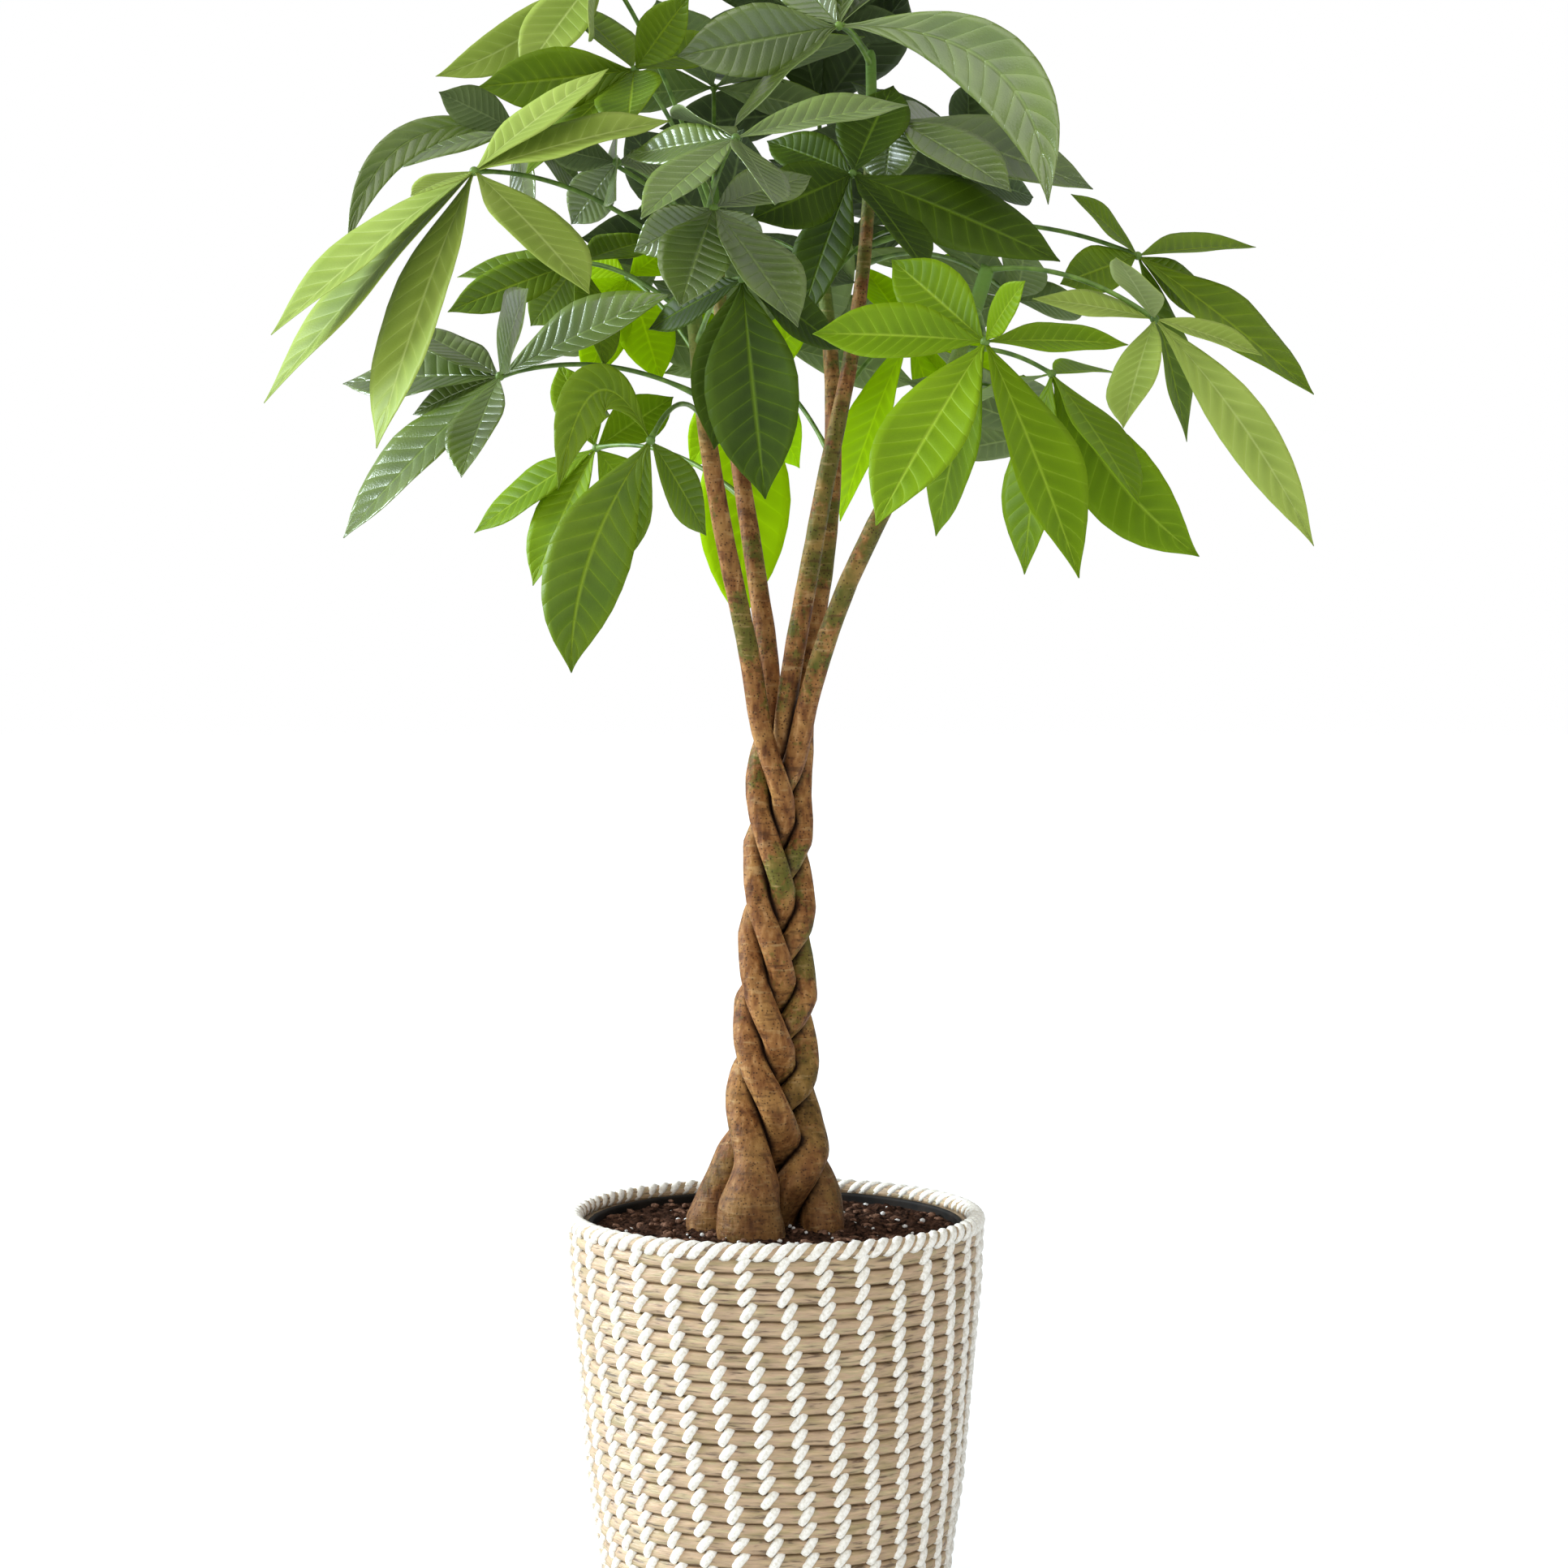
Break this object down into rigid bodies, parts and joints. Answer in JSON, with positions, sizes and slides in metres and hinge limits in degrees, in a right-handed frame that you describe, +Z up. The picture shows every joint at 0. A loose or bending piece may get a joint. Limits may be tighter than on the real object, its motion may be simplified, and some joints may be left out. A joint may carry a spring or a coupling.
{
  "type": "potted money tree",
  "caption": "House plant with a plaited trunk and hand-shaped leaves, growing in a plain pot inside a coiled grass basket sewn with white cord.",
  "frame": {"origin": "middle of the basket's foot, on the floor", "axes": "+Z up along the trunk; -Y is the front, the side that the picture shows, and +X is to its right"},
  "size_m": [0.8187, 0.7218, 1.4448],
  "materials": {
    "grass": "matt plaited seagrass",
    "cord": "matt twisted cotton cord",
    "pot_plastic": "matt black nursery pot",
    "potting_mix": "loose, damp",
    "bark": "rough",
    "leaf_green": "waxy, satin",
    "leaf_young": "waxy, satin"
  },
  "bodies": {
    "root": {"basket": "grass", "basket_stitching": "cord", "grow_pot": "pot_plastic", "leaf_behind_fork": "leaf_young", "leaf_bright_left": "leaf_young", "leaf_bright_middle": "leaf_young", "leaf_bright_right": "leaf_young", "leaf_centre": "leaf_green", "leaf_crown": "leaf_green", "leaf_dark_right": "leaf_green", "leaf_far_left": "leaf_green", "leaf_far_side_1": "leaf_green", "leaf_far_side_10": "leaf_green", "leaf_far_side_2": "leaf_green", "leaf_far_side_3": "leaf_green", "leaf_far_side_4": "leaf_green", "leaf_far_side_5": "leaf_green", "leaf_far_side_6": "leaf_green", "leaf_far_side_7": "leaf_green", "leaf_far_side_8": "leaf_green", "leaf_far_side_9": "leaf_green", "leaf_front_of_fork": "leaf_green", "leaf_glossy_centre": "leaf_green", "leaf_left": "leaf_green", "leaf_light_lower_right": "leaf_young", "leaf_light_right": "leaf_young", "leaf_light_upper_left": "leaf_young", "leaf_lower_left": "leaf_green", "leaf_lower_right": "leaf_green", "leaf_middle_left": "leaf_green", "leaf_right": "leaf_green", "leaf_small_left": "leaf_green", "leaf_top_left": "leaf_green", "leaf_upper_left": "leaf_green", "leaf_upper_right": "leaf_green", "soil": "potting_mix", "stem_back_left": "bark", "stem_back_right": "bark", "stem_front_left": "bark", "stem_front_right": "bark", "stem_middle": "bark"}
  },
  "joints": []
}
